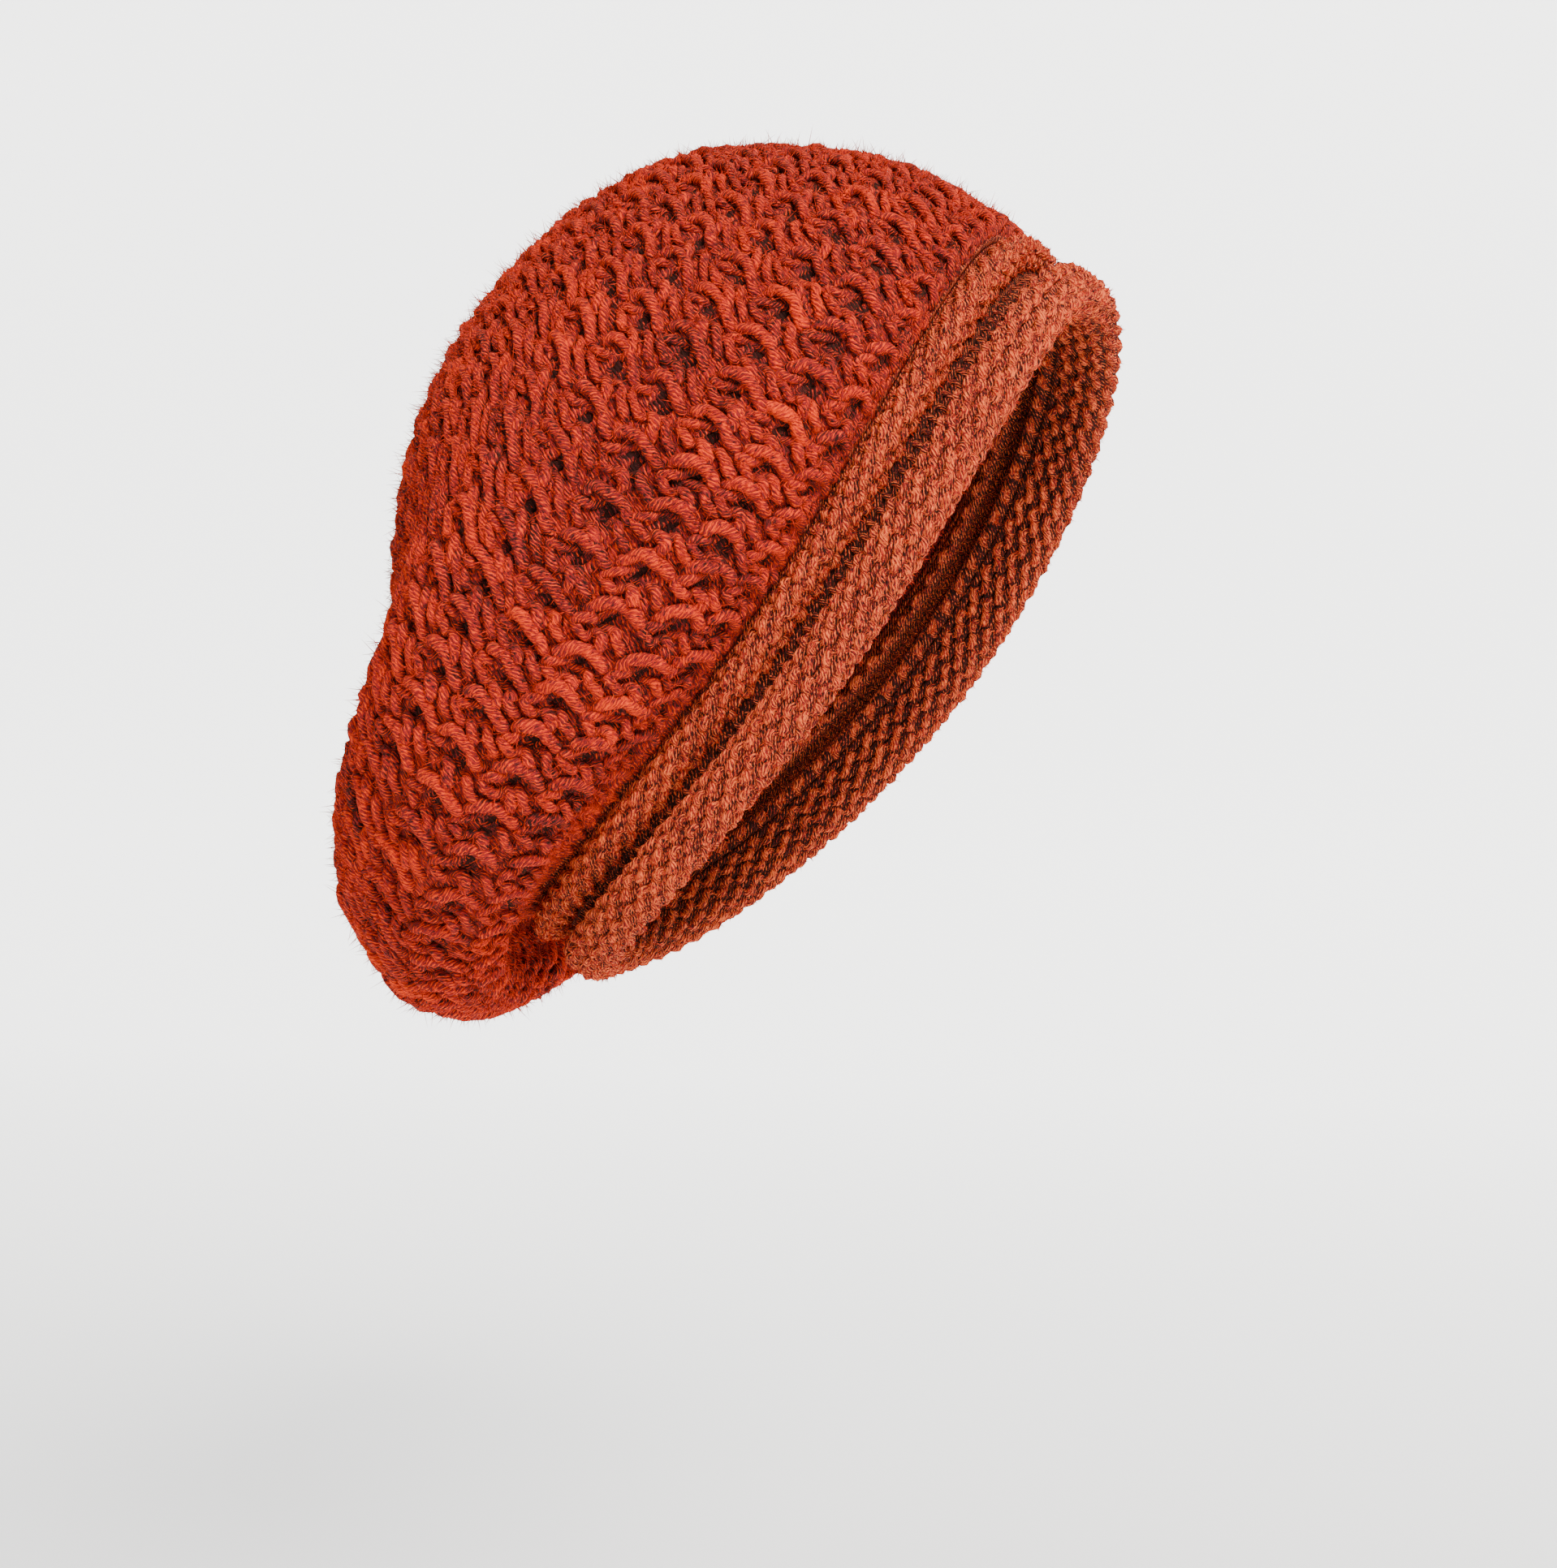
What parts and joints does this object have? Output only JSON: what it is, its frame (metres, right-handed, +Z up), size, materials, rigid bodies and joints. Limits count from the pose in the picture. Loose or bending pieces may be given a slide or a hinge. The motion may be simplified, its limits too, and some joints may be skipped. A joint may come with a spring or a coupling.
{
  "type": "knit beret",
  "caption": "Slouchy knitted beret in its worn form: a full openwork crown on a puffed ridge and a rolled hem, tipped back behind the head opening.",
  "frame": {"origin": "centre of the head opening, midway between the forehead and nape points of its edge", "axes": "+X to the forehead side, +Y to the left side, +Z up as worn"},
  "size_m": [0.2169, 0.2343, 0.252],
  "materials": {
    "crown_knit": "openwork textured stitch in thick plied orange-red yarn, matt, slightly fuzzy",
    "welt_knit": "close purl bumps in plied orange-red yarn, matt, slightly fuzzy",
    "hem_knit": "close purl bumps on a rolled edge, knit side inwards, matt, slightly fuzzy"
  },
  "bodies": {
    "root": {"crown": "crown_knit", "upper_welt": "welt_knit", "rolled_hem": "hem_knit"}
  },
  "joints": []
}
